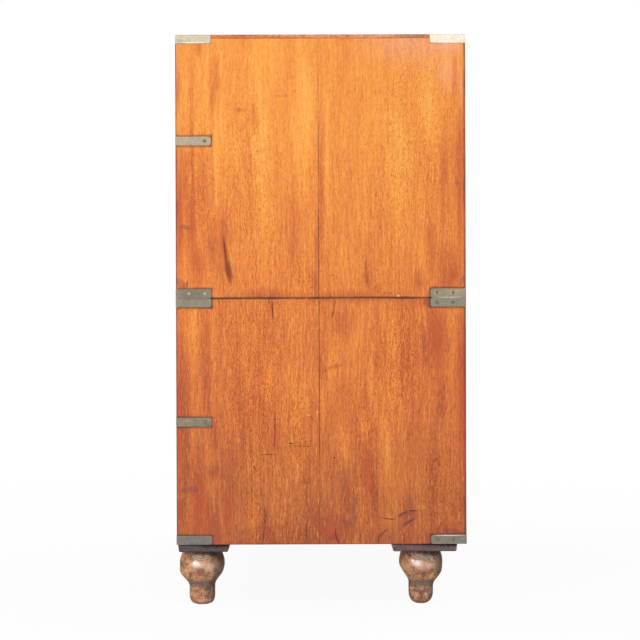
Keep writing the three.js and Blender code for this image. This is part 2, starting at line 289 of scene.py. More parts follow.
# Each mark is a stroke between two points (y, z) on the end of the chest, and a width, in millimetres
def strokes(paint, place, marks, soft=1):
    fields = []
    for y1, z1, y2, z2, width in marks:
        length = math.hypot(y2 - y1, z2 - z1)
        values = {
            "Vector": place,
            "Location": (endPlane, (y1 + y2) / 2 * mm, (z1 + z2) / 2 * mm),
            "Rotation": (math.atan2(y1 - y2, z2 - z1) if length else 0, 0, 0),
            "Scale": (markDepth, width * 0.7 * mm, (length * 0.6 + width * 0.5) * mm),
        }
        local = paint.node("ShaderNodeMapping", {"vector_type": "TEXTURE"}, values)
        ball = paint.node("ShaderNodeTexGradient", {"gradient_type": "SPHERICAL"}, {0: local}, output=1)
        fields.append(ball)
    return paint.smooth(paint.highest(fields), 0, soft)


def marked(paint, place, colour, marks, marking):
    for key, (strength, tint, soft) in marking.items():
        if key in marks:
            colour = paint.mix(strokes(paint, place, marks[key], soft) * strength, colour, tint)
    return colour


# Distance from the nearest of some brass fittings, each (y low, y high, z low, z high) in millimetres
def fromFittings(paint, place, fittings):
    nearest = None
    for low, high, bottom, top in fittings:
        middle = (endPlane, (low + high) / 2 * mm, (bottom + top) / 2 * mm)
        apart = paint.vector("ABSOLUTE", paint.vector("SUBTRACT", place, middle))
        apart = paint.vector("SUBTRACT", apart, (1, (high - low) / 2 * mm, (top - bottom) / 2 * mm))
        distance = paint.highest([paint.axis("Y", apart), paint.axis("Z", apart)])
        nearest = distance if nearest is None else paint.math("MINIMUM", nearest, distance)
    return nearest


def teakPaint(name, along, look=teak, shift=0, aged=0.0, marks={}, ends=True, joint=None):
    paint = Paint(bpy.data.materials.new(name))
    place = paint.place
    height = paint.axis("Z")
    side = paint.axis("Y")
    stray = [look["wander"]] * 3
    stray[grainAxes[along]] = 0
    grain = paint.vector("MULTIPLY_ADD", paint.noise(place, 3.5, output="Color"), tuple(stray), place)
    if joint is not None:  # the second board has grain of its own
        beyond = paint.math("GREATER_THAN", side, joint)
        grain = paint.vector("MULTIPLY_ADD", beyond, look["nextBoard"], grain)

    def grainNoise(key, detail=2, distortion=0):
        stretched = alongGrain(paint, grain, along, *look[key][:2], shift)
        return paint.noise(stretched, 1, detail, 0.55, distortion) - 0.5

    clouds = grainNoise("clouds")
    fibres = grainNoise("fibres")
    streaks = grainNoise("streaks", 3)
    figure = grainNoise("bands", 3) * look["bands"][2] + grainNoise("lines", 1) * look["lines"][2]
    figure = figure + clouds * look["clouds"][2] + streaks * look["streaks"][2] + fibres * look["fibres"][2]
    if marks:
        figure = figure * paint.smooth(height, *byHeight["figure"])
        wobble = paint.noise(place, 260, output="Color")
        place = paint.vector("MULTIPLY_ADD", wobble, (0, markWobble, markWobble), place)
        place = paint.vector("SUBTRACT", place, (0, markWobble / 2, markWobble / 2))
    depth = figure + look["middling"] + aged
    if marks:
        # darker down the end: partly age, partly painted shade for the light falling off, and darker still
        # near the bottom
        depth = depth + paint.smooth(height, *byHeight["darkening"])
        depth = depth + paint.smooth(height, *byHeight["scuffing"])
    if "darker" in marks:
        depth = depth + strokes(paint, place, marks["darker"]) * look["darker"]
        depth = depth - strokes(paint, place, marks["paler"]) * look["paler"]
    colour = shades(paint, depth, look)
    # painted shade: a duller, browner tint towards the floor
    if marks:  # duller towards the floor
        colour = paint.mix(paint.smooth(height, *byHeight["dulling"]), colour, look["dulled"], "MULTIPLY")
    slivers = paint.smooth(grainNoise("slivers"), 0.09, 0.2)
    if "rays" in marks:
        rayed = strokes(paint, place, marks["rays"], 0.6)
        slivers = slivers + paint.smooth(grainNoise("rays", 1, 0.8), 0.1, 0.2) * rayed
    colour = paint.mix(paint.math("MINIMUM", slivers, 1.3) * 0.35, colour, look["golden"])
    coarse = strokes(paint, place, marks["coarse"]) if "coarse" in marks else 0.2
    flecks = paint.smooth(grainNoise("flecks", 1) + coarse * 0.08 + clouds * 0.2, 0.08, 0.24)
    curls = paint.smooth(abs(grainNoise("curls", 1)), 0.045, 0) * coarse
    flecks = paint.highest([flecks * 0.85, curls * paint.smooth(streaks, -0.08, 0.1)])
    if marks:  # fainter towards the top
        flecks = flecks * paint.smooth(height, *byHeight["flecks"])
    colour = paint.mix(flecks, colour, look["fleck"], "MULTIPLY")
    relief = fibres * 0.4 - flecks
    if joint is not None:
        line = paint.smooth(abs(side - joint - fibres * 0.0012), *endDarkening["fromJoint"])
        worn = paint.smooth(paint.noise(place, 9, 3), 0.25, 0.6)
        shown = paint.smooth(height, *byHeight["jointAbove"]) * paint.smooth(height, *byHeight["jointBelow"])
        colour = paint.mix(line * worn * shown, colour, look["joint"])
        relief = relief - line * 2
    if ends:
        endFacing = paint.smooth(abs(paint.axis(along, paint.facing)), 0.7, 0.9)
        rings = paint.noise(paint.scaled(paint.place, (160, 160, 420)), detail=3)
        colour = paint.mix(endFacing, colour, shades(paint, rings, look, "endLevels"))
    colour = marked(paint, place, colour, marks, woodMarking)
    if "cracks" in marks:
        cracks = strokes(paint, place, marks["cracks"], 0.45)
        colour = paint.mix(cracks * 0.8, colour, look["crack"])
        relief = relief - cracks * 2.5
    if "fittings" in marks:
        # painted shadow round each brass fitting, partly grime
        halo = paint.smooth(fromFittings(paint, place, marks["fittings"]), *endDarkening["fromFitting"])
        edges = [paint.smooth(side, *endDarkening[key]) for key in ("rearEdge", "frontEdge")]
        edges = paint.highest(edges) * paint.smooth(paint.axis("X"), *endDarkening["outside"])
        seam = paint.smooth(abs(height - endDarkening["seamHeight"]), *endDarkening["fromSeam"])
        seams = paint.highest([seam, paint.smooth(height, *endDarkening["bottom"])])
        colour = paint.mix(halo * (0.62 + clouds), colour, look["grime"])
        colour = paint.mix(edges * (0.75 + streaks), colour, look["edge"])
        colour = paint.mix(seams * (0.68 + clouds * 2), colour, look["grime"])
    gloss = look["polish"] + clouds * 0.3 + flecks * 0.15
    return paint.surface(colour, gloss, relief, Specular_IOR_Level=look["shine"])


# Marks on the two boards of the right-hand end, (y, z) to (y, z) and width in millimetres
upperEndMarks = {
    # fittings that get a painted shadow round them
    "fittings": [(-255, -192, 809, 825), (-255, -192, 541, 558), (192, 255, 541, 558)],
    "coarse": [
        (-122, 985, -118, 560, 110), (160, 975, 150, 640, 170), (-215, 900, -215, 600, 60),
        (-40, 620, -30, 545, 60),
    ],
    "red": [
        (-250, 850, -248, 590, 30), (-251, 960, -251, 860, 14), (-232, 720, -222, 600, 26),
        (246, 930, 244, 580, 14), (-225, 640, -210, 570, 40), (-212, 1000, -212, 960, 12),
        (-190, 920, -190, 860, 6), (-8, 700, -8, 560, 8), (238, 600, 225, 560, 24),
        (-174, 650, -160, 578, 14), (-150, 872, -134, 870, 9), (-61, 897, -61, 894, 9),
        (-79, 895.5, -66, 895, 4),
    ],
    "cracks": [
        (79, 630, 79, 558, 1.2), (-234, 572, -234.5, 561, 1.6), (-254, 866, -254, 863, 4),
        (-254, 767, -254, 764, 4), (112, 550, 112, 549, 2.2), (122.5, 550, 122.5, 549, 2.2),
    ],
    "stains": [
        (-246, 668, -226, 664, 7), (-252, 712, -252, 686, 6), (-250, 572, -240, 563, 14),
        (243, 564, 253, 580, 8), (238.5, 744, 240, 741, 8), (252, 760, 252, 690, 5),
        (188, 545, 200, 560, 10),
    ],
    "scorches": [(-171, 655, -164, 596, 5), (-165.5, 612, -157.5, 566, 12)],
    "darker": [
        (-205, 850, -200, 660, 34), (-197, 672, -184, 590, 20), (-225, 1000, -225, 560, 11),
        (-191, 1000, -189, 640, 12), (-246, 800, -246, 560, 12), (1, 900, 1, 545, 12),
        (239, 950, 238, 600, 30), (-235, 810, -233, 690, 18), (190, 700, 196, 560, 20),
        (-14, 590, -8, 548, 20), (-120, 900, -112, 820, 16), (225, 640, 225, 545, 46),
        (-171, 700, -171, 620, 34), (-184, 985, -184, 860, 20), (-240, 560, -240, 545, 20),
        (82, 600, 84, 550, 24), (172, 590, 174, 550, 26), (217, 880, 217, 640, 20),
        (-48, 740, -48, 575, 30), (-190, 700, -180, 570, 26), (-150, 545, -40, 545, 30),
        (-50, 543, 170, 543, 26), (95, 562, 100, 548, 22), (236, 985, 236, 860, 14),
    ],
    "paler": [
        (-28, 965, -31, 720, 30), (-215, 870, -213, 800, 14), (-118, 965, -90, 600, 44),
        (-195, 900, -195, 715, 60), (-30, 985, -22, 830, 28), (12, 940, 12, 620, 12),
        (135, 900, 135, 640, 46), (-147, 860, -148, 750, 28), (186, 960, 190, 800, 30),
    ],
    # painted highlight and painted sheen at the top right corner and along the edges
    "gleam": [(200, 986, 250, 983, 36)],
    "bloom": [
        (80, 992, 236, 982, 90), (218, 962, 222, 915, 44), (246, 960, 247, 870, 8),
        (-251, 990, -251, 880, 4),
    ],
    "specks": [(135.4, 545, 135.6, 544, 3)],
}
lowerEndMarks = {
    # fittings that get a painted shadow round them
    "fittings": [
        (-255, -192, 525.5, 542), (192, 255, 525.5, 542), (-255, -192, 316.5, 332.5),
        (-255, -192, 109, 125.6), (192, 255, 109, 125.6),
    ],
    "red": [
        (-200, 522, -200, 455, 16), (-164, 228, -164, 108, 18), (247, 520, 246, 180, 18),
        (-250, 520, -250, 130, 14), (205, 520, 205, 430, 40), (215, 150, 250, 122, 12),
        (-215, 240, -210, 120, 40), (-80, 330, -82, 270, 16), (10, 150, 25, 110, 30),
        (80, 300, 84, 150, 16),
    ],
    "coarse": [
        (-120, 540, -112, 110, 120), (150, 530, 120, 300, 110), (80, 400, 90, 110, 60),
        (-40, 420, -35, 200, 50), (200, 300, 205, 120, 70),
    ],
    "cracks": [
        (-85.8, 542, -84, 504, 2.6), (-91, 542, -91, 532, 1.6), (-179, 541, -179, 533, 1.2),
        (23.4, 538, 23, 521, 1.5), (23, 522, 18.4, 505, 1.5), (-80.8, 341, -81.5, 300, 1.9),
        (-81.4, 304, -83.6, 276, 1.3), (-108, 267.6, -78, 267.4, 1.2), (-57, 286.8, -50, 286.2, 2.2),
        (-52, 283, -16, 281.2, 1.1), (-99.2, 175, -99.4, 143, 1.8), (-99.4, 146, -103.4, 110, 1.8),
        (-26.4, 153, -26.8, 111, 1.5), (24, 137, 24.8, 122, 2.2), (24.8, 124, 31.4, 110, 3.2),
        (113, 134, 100.5, 123, 2.4), (100.5, 124, 98.5, 111, 2), (67.2, 131, 67.1, 112, 1.4),
        (144.3, 131, 144.3, 111, 1.4), (104, 155.6, 130, 152.4, 1.6), (133, 158, 151, 168, 2.4),
        (152, 168, 168, 168.4, 2), (142, 142, 164, 155, 1.7), (-15.8, 359, -15.8, 358, 2.4),
        (-16.7, 333, -16.7, 331, 2.2), (-118.4, 247, -118.4, 245, 3), (-146.6, 359, -146.6, 357, 2.4),
        (23.2, 262.6, 23.2, 260.6, 3), (196.6, 250, 197.5, 256, 1.6), (197.5, 256, 206, 261.5, 1.5),
        (205, 252, 206.5, 248, 1.6), (-240, 126, -239, 122, 3),
    ],
    "stains": [
        (-244, 203.5, -232, 206, 9), (-232, 207, -219, 206, 12), (61.5, 195, 53, 160, 7),
        (58, 162, 52.5, 140, 11), (38, 151, 43, 148, 8), (8, 115, 28, 127, 9),
        (155.9, 199, 155.9, 182, 6), (181, 530, 192, 542, 9), (186, 528, 192, 529, 6),
        (-201.5, 518.5, -198, 517, 5), (133, 157, 168, 168.6, 9), (141, 141, 165, 156, 8),
        (186, 110, 186, 128, 7), (-138, 133, -138, 130, 6), (-142, 116, -141, 113, 7),
        (114, 135.5, 112, 133, 5), (204, 137, 204, 135, 5), (-244, 541, -232, 537, 6),
        (215, 135, 252, 125, 12),
    ],
    "darker": [
        (-50, 540, 170, 540, 20), (8, 417, 38, 425, 9), (3, 412, 14, 418, 7), (-190, 330, -186, 270, 22),
        (-199.7, 520, -199.8, 300, 15), (-164, 226, -164, 110, 15), (-215, 300, -215, 110, 30),
        (0, 120, 0, 180, 60), (40, 260, 52, 130, 22), (245, 540, 246, 330, 26), (200, 535, 204, 400, 44),
        (-195, 190, -190, 112, 40), (-247, 400, -247, 350, 14), (-190, 230, -180, 250, 30),
        (180, 500, 190, 400, 22), (96, 540, 100, 380, 24), (150, 540, 240, 528, 30),
        (90, 240, 96, 150, 12), (-164, 300, -160, 130, 44), (-238, 520, -238, 120, 22),
        (38, 525, 40, 470, 38), (-210, 530, -206, 380, 18), (-193, 175, -188, 115, 34),
        (38, 165, 40, 115, 32), (150, 200, 153, 120, 32), (-246, 190, -246, 145, 14),
        (212, 425, 212, 300, 18),
    ],
    "paler": [
        (-45, 410, -40, 270, 70), (-212, 530, -212, 420, 64), (96, 510, 96, 390, 26),
        (-40, 262, -40, 220, 18), (2, 420, 3, 300, 12), (-50, 512, -50, 500, 5),
        (-133, 520, -128, 330, 34), (16, 500, 18, 350, 22), (110, 370, 116, 200, 22),
        (-120, 200, -118, 112, 26), (-47, 330, -45, 310, 8), (130, 520, 128, 430, 30),
        (75, 350, 78, 280, 20), (-95, 450, -92, 350, 30), (92, 450, 94, 350, 34),
        (127, 440, 128, 310, 28), (37, 325, 38, 240, 26), (-36, 275, -34, 235, 20),
        (-9, 227, -17, 204, 3), (-30, 180, -38, 160, 3), (-8, 177, -17, 155, 3),
        (-24, 240, -29, 218, 2.6), (-46, 172, -56, 150, 2.6),
    ],
    # a painted sheen along the front edge
    "bloom": [(-254, 300, -254, 160, 3)],
    "rays": [(-44, 530, -44, 330, 66), (-70, 250, -30, 140, 90), (-120, 330, -112, 200, 30)],
    "specks": [(-26.5, 541.6, -25, 541.2, 4), (-6.5, 342.5, -6.5, 341.5, 1.5), (-18.6, 337, -24, 336, 1)],
}

# End grain of the top, a strip between the brass corners
topEndMarks = {
    "red": [(-192, 999, -100, 999, 12), (-192, 997, 40, 997.2, 2.6), (90, 997, 150, 997.2, 2.6)],
    "stains": [(128, 1000, 192, 1000, 9), (-150, 1002, -90, 1002, 2.5)],
    # a painted sheen along the end grain of the top
    "bloom": [(50, 1000, 185, 1000, 9), (-40, 1002, 10, 1002, 4)],
}

# Old brass, dull and greenish lower down and pale at the top: partly rubbing and tarnish, partly painted
# light that falls off lower down
patina = {
    "rubbed": tone(204, 190, 166),
    "upper": tone(178, 161, 136),
    "middle": tone(142, 133, 115),
    "lower": tone(140, 126, 106),
    "foot": tone(132, 127, 113),
    "tarnish": tone(92, 92, 84),
    "levels": {"foot": 0.11, "lower": 0.33, "middle": 0.54, "upper": 0.82, "rubbed": 0.985},
}
# handle brass, also painted lighter towards the top
castBrass = {
    **patina,
    "upper": tone(206, 180, 118),
    "middle": tone(196, 168, 108),
    "lower": tone(186, 160, 104),
    "foot": tone(180, 152, 98),
}

# Tints of the brass on the right-hand end, given like the marks of the wood; the pale ones are painted
# highlights
brassMarks = {
    "dark": [(-254, 550, -194, 550, 26), (-205, 321, -195, 321, 10), (-250, 115, -196, 115, 34)],
    "tan": [(215, 551, 256, 552, 20), (200, 549, 212, 549, 8), (-242, 327, -225, 327, 4)],
    "blue": [(-245, 117, -200, 117, 10), (-250, 993, -240, 990, 10)],
    # painted highlights along the top edges of the fittings and round the rims of two screws
    "pale": [
        (196, 125, 252, 125, 2), (196, 542, 252, 542, 1.6), (190, 998, 258, 998, 30),
        (-250, 989, -196, 989, 2), (203, 549.5, 203, 549.5, 7), (231, 549.5, 231, 549.5, 7),
    ],
}
brassMarking = {
    "dark": (0.6, tone(104, 99, 88), 1),
    "tan": (0.7, tone(180, 156, 124), 1),
    "blue": (0.5, tone(120, 136, 144), 1),
    # a painted highlight
    "pale": (0.8, tone(246, 232, 212), 0.6),
}


def brassPaint(name, look=patina, metal=0.72, shift=0, marks={}):
    paint = Paint(bpy.data.materials.new(name))
    colour = shades(paint, paint.axis("Z"), look)
    clouds = paint.noise(paint.vector("ADD", paint.place, (shift, shift, shift)), 90, 4, 0.6)
    colour = paint.mix(paint.smooth(clouds, 0.5, 0.75) * 0.35, colour, look["tarnish"])
    colour = marked(paint, paint.place, colour, marks, brassMarking)
    mottle = paint.smooth(paint.noise(paint.place, 300, 3, 0.6), 0.32, 0.68)
    colour = paint.scaled(colour, 0.87 + mottle * 0.22)
    scratches = paint.noise(paint.scaled(paint.place, (300, 300, 2200)))
    colour = paint.mix(paint.smooth(scratches, 0.58, 0.7) * 0.3, colour, look["rubbed"])
    spots = paint.smooth(paint.cells(paint.place, 420), 0.16, 0.05)
    colour = paint.mix(spots * 0.5, colour, look["tarnish"])
    gloss = 0.42 + clouds * 0.2
    return paint.surface(colour, gloss, scratches * 0.4 + clouds, bump=0.2, depth=0.1 * mm, Metallic=metal)


def screwPaint(name, colour, dark):
    paint = Paint(bpy.data.materials.new(name))
    mottle = paint.noise(paint.place, 700, 3)
    shade = paint.mix(mottle, colour, dark)
    return paint.surface(shade, 0.35 + mottle * 0.2, mottle, bump=0.2, depth=0.05 * mm, Metallic=0.8)


# Unpolished wood, inside and behind. Sizes are as for the teak.
plainWood = {
    "bands": (0.018, 0.4),
    "streaks": (0.003, 0.09),
    "pores": (0.0014, 0.009),
    "pore": tone(70, 46, 34),
    "soil": tone(88, 62, 46),
    "plankShades": (-0.05, 0.07),
    "nextPlank": (0.37, 0.21, 0.83),  # how far away the grain of the next plank is taken from
}


def plainWoodPaint(name, along, pale, deep, polish, shift=0, joints=()):
    look = plainWood
    paint = Paint(bpy.data.materials.new(name))
    place = paint.place
    plank = 0
    for order, joint in enumerate(joints):  # each plank has grain and a shade of its own
        beyond = paint.math("GREATER_THAN", paint.axis("X"), joint)
        place = paint.vector("MULTIPLY_ADD", beyond, look["nextPlank"], place)
        plank = beyond * look["plankShades"][order % 2] + plank
    bands = paint.noise(alongGrain(paint, place, along, *look["bands"], shift), detail=4, roughness=0.6)
    streaks = paint.noise(alongGrain(paint, place, along, *look["streaks"], shift), detail=3)
    colour = paint.mix(paint.smooth(bands * 0.65 + streaks * 0.35 + plank, 0.3, 0.7), pale, deep)
    pores = paint.smooth(paint.cells(alongGrain(paint, place, along, *look["pores"], shift), 1), 0.4, 0.15)
    colour = paint.mix(pores * 0.3, colour, look["pore"])
    soil = paint.smooth(paint.noise(paint.place, 9, 4, 0.65), 0.55, 0.8)
    colour = paint.mix(soil * 0.35, colour, look["soil"])
    return paint.surface(colour, polish + streaks * 0.15, streaks * 0.5 - pores)


# Turned feet: mottled and rubbed, with growth rings on the bulb, a grey band where it meets the peg,
# painted highlights on the belly and painted shade at the rims, under the batten and at the floor
footLook = {
    "pale": tone(216, 164, 116),
    "warm": tone(182, 120, 76),
    "brown": tone(112, 76, 56),
    "worn": tone(50, 38, 36),
    # tint of the painted shade on the feet
    "dirt": tone(70, 60, 64),
    "crease": tone(122, 108, 102),
    # pale tint of the painted highlights on the belly
    "rubbed": tone(240, 216, 200),
    # tint of a painted highlight
    "gleam": tone(252, 246, 238),
    "shade": tone(44, 46, 50),
    "red": tone(160, 84, 62),
    "levels": {"worn": 0.39, "brown": 0.445, "warm": 0.5, "pale": 0.58},
    # the rubbed and gleam patches are painted highlights on the belly; the shade patches are painted shade
    # under the batten and by the crease
    "patches": [  # tint, middle and half sizes on the outward side, strength
        ("rubbed", (0.037, -0.008, 0.0735), (0.03, 0.013, 0.0075), 0.7),
        ("rubbed", (0.037, 0.013, 0.071), (0.03, 0.018, 0.0075), 0.38),
        ("gleam", (0.037, -0.008, 0.0755), (0.03, 0.0065, 0.0055), 0.9),
        ("shade", (0.037, 0.021, 0.0915), (0.03, 0.013, 0.0055), 0.85),
        ("shade", (0.037, 0.017, 0.042), (0.03, 0.012, 0.003), 0.4),
        ("red", (0.037, -0.004, 0.058), (0.03, 0.022, 0.005), 0.4),
    ],
    "shadows": [  # strength, two places across, two heights
        (0.75, (0.014, 0.036), (0.03, 0.046)),  # bulb, towards the rear
        (0.7, (-0.0345, -0.039), (-1, 0)),  # bulb, towards the front
        (0.6, (0.008, 0.021), (0.05, 0.038)),  # peg, the same two sides
        (0.6, (-0.018, -0.0222), (0.046, 0.036)),
    ],
    "creaseHeight": 0.038,
    "ringCentre": (0.039, 0.001, 0.096),  # from the foot's axis, on the side facing out
    "ringShape": (0.4, 0.8, 1.15),
    "ringsToMetre": 1500,
}


def footPaint(name, look=footLook):
    paint = Paint(bpy.data.materials.new(name))
    spot = paint.node("ShaderNodeAttribute", {"attribute_name": "fromAxis"}, output="Vector")
    height = paint.axis("Z")
    clouds = paint.noise(paint.place, 75, 3, 0.55)
    flecks = paint.noise(paint.scaled(paint.place, (620, 620, 380)), 1, 3, 0.7)
    curls = paint.noise(paint.scaled(paint.place, (230, 230, 180)), 1, 1, 0.5, 1.2)
    turned = paint.noise(paint.scaled(paint.place, (8, 8, 520)))
    blend = clouds * 0.35 + flecks * 0.35 + curls * 0.2 + turned * 0.1
    colour = shades(paint, blend, look)
    squiggles = paint.smooth(abs(curls - 0.5), 0.022, 0) * paint.smooth(clouds, 0.62, 0.5)
    colour = paint.mix(squiggles * 0.4, colour, look["worn"])
    away = paint.length(paint.scaled(paint.vector("SUBTRACT", spot, look["ringCentre"]), look["ringShape"]))
    away = away + (clouds - 0.5) * 0.005 + (curls - 0.5) * 0.003
    waves = paint.math("SINE", away * look["ringsToMetre"])
    inRings = paint.smooth(away, 0.0205, 0.018) * paint.smooth(away, 0.008, 0.013)
    rings = paint.smooth(waves, 0, 0.6) * inRings * (0.2 + clouds)
    colour = paint.mix(inRings * 0.3, colour, look["rubbed"])
    # painted shade at the top of the bulb, under the batten
    colour = paint.mix(paint.smooth(away, 0.014, 0.006) * 0.35, colour, look["dirt"])
    colour = paint.mix(rings, colour, look["worn"])
    # painted highlights and painted shade in patches, with a red tint patch
    for tint, middle, size, strength in look["patches"]:
        apart = paint.length(paint.vector("DIVIDE", paint.vector("SUBTRACT", spot, middle), size))
        patch = paint.smooth(apart + (flecks - 0.5) * 1.6, 1.2, 0.3)
        colour = paint.mix(patch * strength, colour, look[tint])
    crease = paint.smooth(abs(height - look["creaseHeight"]), 0.0105, 0.001)
    colour = paint.mix(crease * (0.3 + clouds), colour, look["crease"])
    across = paint.axis("Y", spot)
    # painted shade: at the top under the batten, at the floor, and painted shadows down the sides of bulb
    # and peg
    dirt = [paint.smooth(height, 0.087, 0.095) * 0.6, paint.smooth(height, 0.008, 0) * 0.5]
    for strength, sides, heights in look["shadows"]:
        dirt.append(paint.smooth(across, *sides) * paint.smooth(height, *heights) * strength)
    colour = paint.mix(paint.highest(dirt), colour, look["dirt"])
    turnedAway = paint.node("ShaderNodeLayerWeight", {}, {"Blend": 0.5}, output="Facing")
    polish = paint.smooth(turnedAway, 0.6, 0.2) * paint.smooth(crease, 0.8, 0.2)
    gloss = 0.42 + flecks * 0.14 + crease * 0.3
    relief = flecks * 0.3 + turned * 0.3 - rings * 1.5 - squiggles * 0.4
    fixed = {"Coat_Weight": polish, "Coat_Roughness": 0.15, "Coat_IOR": 1.5, "Specular_IOR_Level": 0.1}
    return paint.surface(colour, gloss, relief, **fixed)


# Battens: dark, and darker still at the rims: painted shadow along the top under the case and painted shade
# along the lower edge
battenLook = {
    # tint of the painted shade at the rims
    "rim": tone(36, 32, 40),
    "upperRim": (0.1060, 0.1090),
    "lowerRim": (0.0985, 0.0965),
}


def battenPaint(name, deep, middle, pale):
    paint = Paint(bpy.data.materials.new(name))
    grain = paint.noise(alongGrain(paint, paint.place, "X", 0.004, 0.12), detail=4)
    cuts = paint.noise(paint.place, 600, 3)
    colour = paint.ramp(grain * 0.6 + cuts * 0.4, [(0.35, deep), (0.5, middle), (0.66, pale)])
    height = paint.axis("Z")
    upperRim, lowerRim = (paint.smooth(height, *battenLook[key]) for key in ("upperRim", "lowerRim"))
    colour = paint.mix(paint.highest([upperRim, lowerRim * 0.7]) * 0.85, colour, battenLook["rim"])
    return paint.surface(colour, 0.48 + grain * 0.15, grain + cuts * 0.5, depth=0.3 * mm)


plankJoints = [-0.318, -0.107, 0.109, 0.306]  # where the planks of a back meet
drawerAges = {
    "short_drawer_left": 0.02,
    "short_drawer_right": 0.07,
    "long_drawer_upper": 0.05,
    "long_drawer_middle": 0.1,
    "long_drawer_bottom": 0.16,
}
finishes = {
    "upperEnd": teakPaint("upperEndTeak", "Z", marks=upperEndMarks, ends=False, joint=-3.7 * mm),
    "lowerEnd": teakPaint("lowerEndTeak", "Z", shift=3.1, marks=lowerEndMarks, ends=False, joint=-3.2 * mm),
    "farEnd": teakPaint("farEndTeak", "Z", shift=11.7, aged=0.05, ends=False),
    "top": teakPaint("topTeak", "X", topTeak, shift=5.3, aged=0.12, marks=topEndMarks),
    "rail": teakPaint("railTeak", "X", shift=8.2, aged=0.1),
    "upright": teakPaint("uprightTeak", "Z", shift=2.2, aged=0.1),
    "inside": plainWoodPaint("insideWood", "X", tone(176, 126, 82), tone(140, 94, 58), 0.62),
    "insideEnd": plainWoodPaint("insideEndWood", "Z", tone(172, 120, 78), tone(138, 92, 58), 0.62, 4),
    "back": plainWoodPaint("backWood", "Z", tone(150, 104, 70), tone(106, 72, 50), 0.7, 9, plankJoints),
    "lining": plainWoodPaint("liningWood", "Y", tone(206, 164, 112), tone(176, 132, 84), 0.55, 2),
    "liningAcross": plainWoodPaint("liningAcrossWood", "X", tone(202, 160, 108), tone(172, 128, 82),
                                   0.55, 6),
    "batten_front": battenPaint("frontBattenWood", tone(46, 35, 38), tone(76, 58, 61), tone(102, 80, 79)),
    "batten_rear": battenPaint("rearBattenWood", tone(60, 46, 50), tone(98, 74, 76), tone(126, 98, 96)),
    "foot": footPaint("footWood"),
    "brass": brassPaint("brass", marks=brassMarks),
    "handleBrass": brassPaint("handleBrass", castBrass, 0.9, 3),
    "handleScrew": screwPaint("handleScrew", tone(158, 130, 82), tone(108, 88, 54)),
    "brightScrew": screwPaint("brightScrew", tone(204, 192, 172), tone(136, 128, 114)),
    "dullScrew": screwPaint("dullScrew", tone(134, 131, 116), tone(90, 88, 80)),
}
for order, (node, aged) in enumerate(drawerAges.items()):
    finishes[node] = teakPaint(node + "_teak", "X", shift=15.4 + 6.1 * order, aged=aged)
print("finishes mixed")


# Mesh helpers
joining = 0.01 * mm  # vertices closer than this become one
touching = 0.1 * mm  # points closer than this count as in one place


def copyOf(node):
    work = bmesh.new()
    work.from_mesh(nodes[node].data)
    bmesh.ops.remove_doubles(work, verts=work.verts, dist=joining)
    bmesh.ops.dissolve_limit(work, angle_limit=math.radians(1), verts=work.verts, edges=work.edges)
    return work


def boxBetween(low, high):
    work = bmesh.new()
    bmesh.ops.create_cube(work, size=1)
    size = [end - start for start, end in zip(low, high)]
    bmesh.ops.scale(work, vec=size, verts=work.verts)
    bmesh.ops.translate(work, vec=(Vector(low) + Vector(high)) / 2, verts=work.verts)
    return work


def cylinderAlong(axis, radius, length, middle, sides=24):
    work = bmesh.new()
    bmesh.ops.create_cone(work, cap_ends=True, segments=sides, radius1=radius, radius2=radius, depth=length)
    angle, about = {"X": (math.pi / 2, "Y"), "Y": (math.pi / 2, "X"), "Z": (0, "Z")}[axis]
    bmesh.ops.rotate(work, matrix=Matrix.Rotation(angle, 3, about), verts=work.verts)
    bmesh.ops.translate(work, vec=middle, verts=work.verts)
    return work


def extruded(points, push):
    work = bmesh.new()
    face = work.faces.new([work.verts.new(point) for point in points])
    grown = bmesh.ops.extrude_face_region(work, geom=[face])["geom"]
    pushed = [item for item in grown if isinstance(item, bmesh.types.BMVert)]
    bmesh.ops.translate(work, vec=push, verts=pushed)
    bmesh.ops.recalc_face_normals(work, faces=work.faces)
    return work


def joinInto(work, *others):
    for other in others:
        carrier = bpy.data.meshes.new("carrier")
        other.to_mesh(carrier)
        work.from_mesh(carrier)
        bpy.data.meshes.remove(carrier)
        other.free()
    return work


# Cuts a mesh in two, across an axis, and closes both halves
def halves(work, axis, place):
    normal = Vector([1 if name == axis else 0 for name in "XYZ"])
    parts = []
    for side in ("clear_outer", "clear_inner"):
        part = work.copy()
        cutter = {"plane_co": normal * place, "plane_no": normal, side: True}
        cut = bmesh.ops.bisect_plane(part, geom=part.verts[:] + part.edges[:] + part.faces[:], **cutter)
        rim = [item for item in cut["geom_cut"] if isinstance(item, bmesh.types.BMEdge)]
        bmesh.ops.holes_fill(part, edges=rim, sides=0)
        bmesh.ops.recalc_face_normals(part, faces=part.faces)
        parts.append(part)
    work.free()
    return parts


# Boards side by side, cut at places along an axis, for each to have eased edges of its own
def boardsCut(work, axis, places):
    boards = []
    rest = work
    for place in places:
        board, rest = halves(rest, axis, place)
        boards.append(board)
    return [*boards, rest]


def easeEdges(work, width, segments=2, chosen=None, angle=25):
    sharp = [edge for edge in work.edges if len(edge.link_faces) == 2
             and edge.calc_face_angle(0) > math.radians(angle) and (chosen is None or chosen(edge))]
    if sharp:
        bmesh.ops.bevel(work, geom=sharp, offset=width, segments=segments, profile=0.5, affect="EDGES",
                        material=-1, clamp_overlap=True)
    return work


def asObject(work, name, *materials):
    mesh = bpy.data.meshes.new(name)
    work.to_mesh(mesh)
    work.free()
    for material in materials:
        mesh.materials.append(material)
    piece = bpy.data.objects.new(name, mesh)
    bpy.context.scene.collection.objects.link(piece)
    return piece


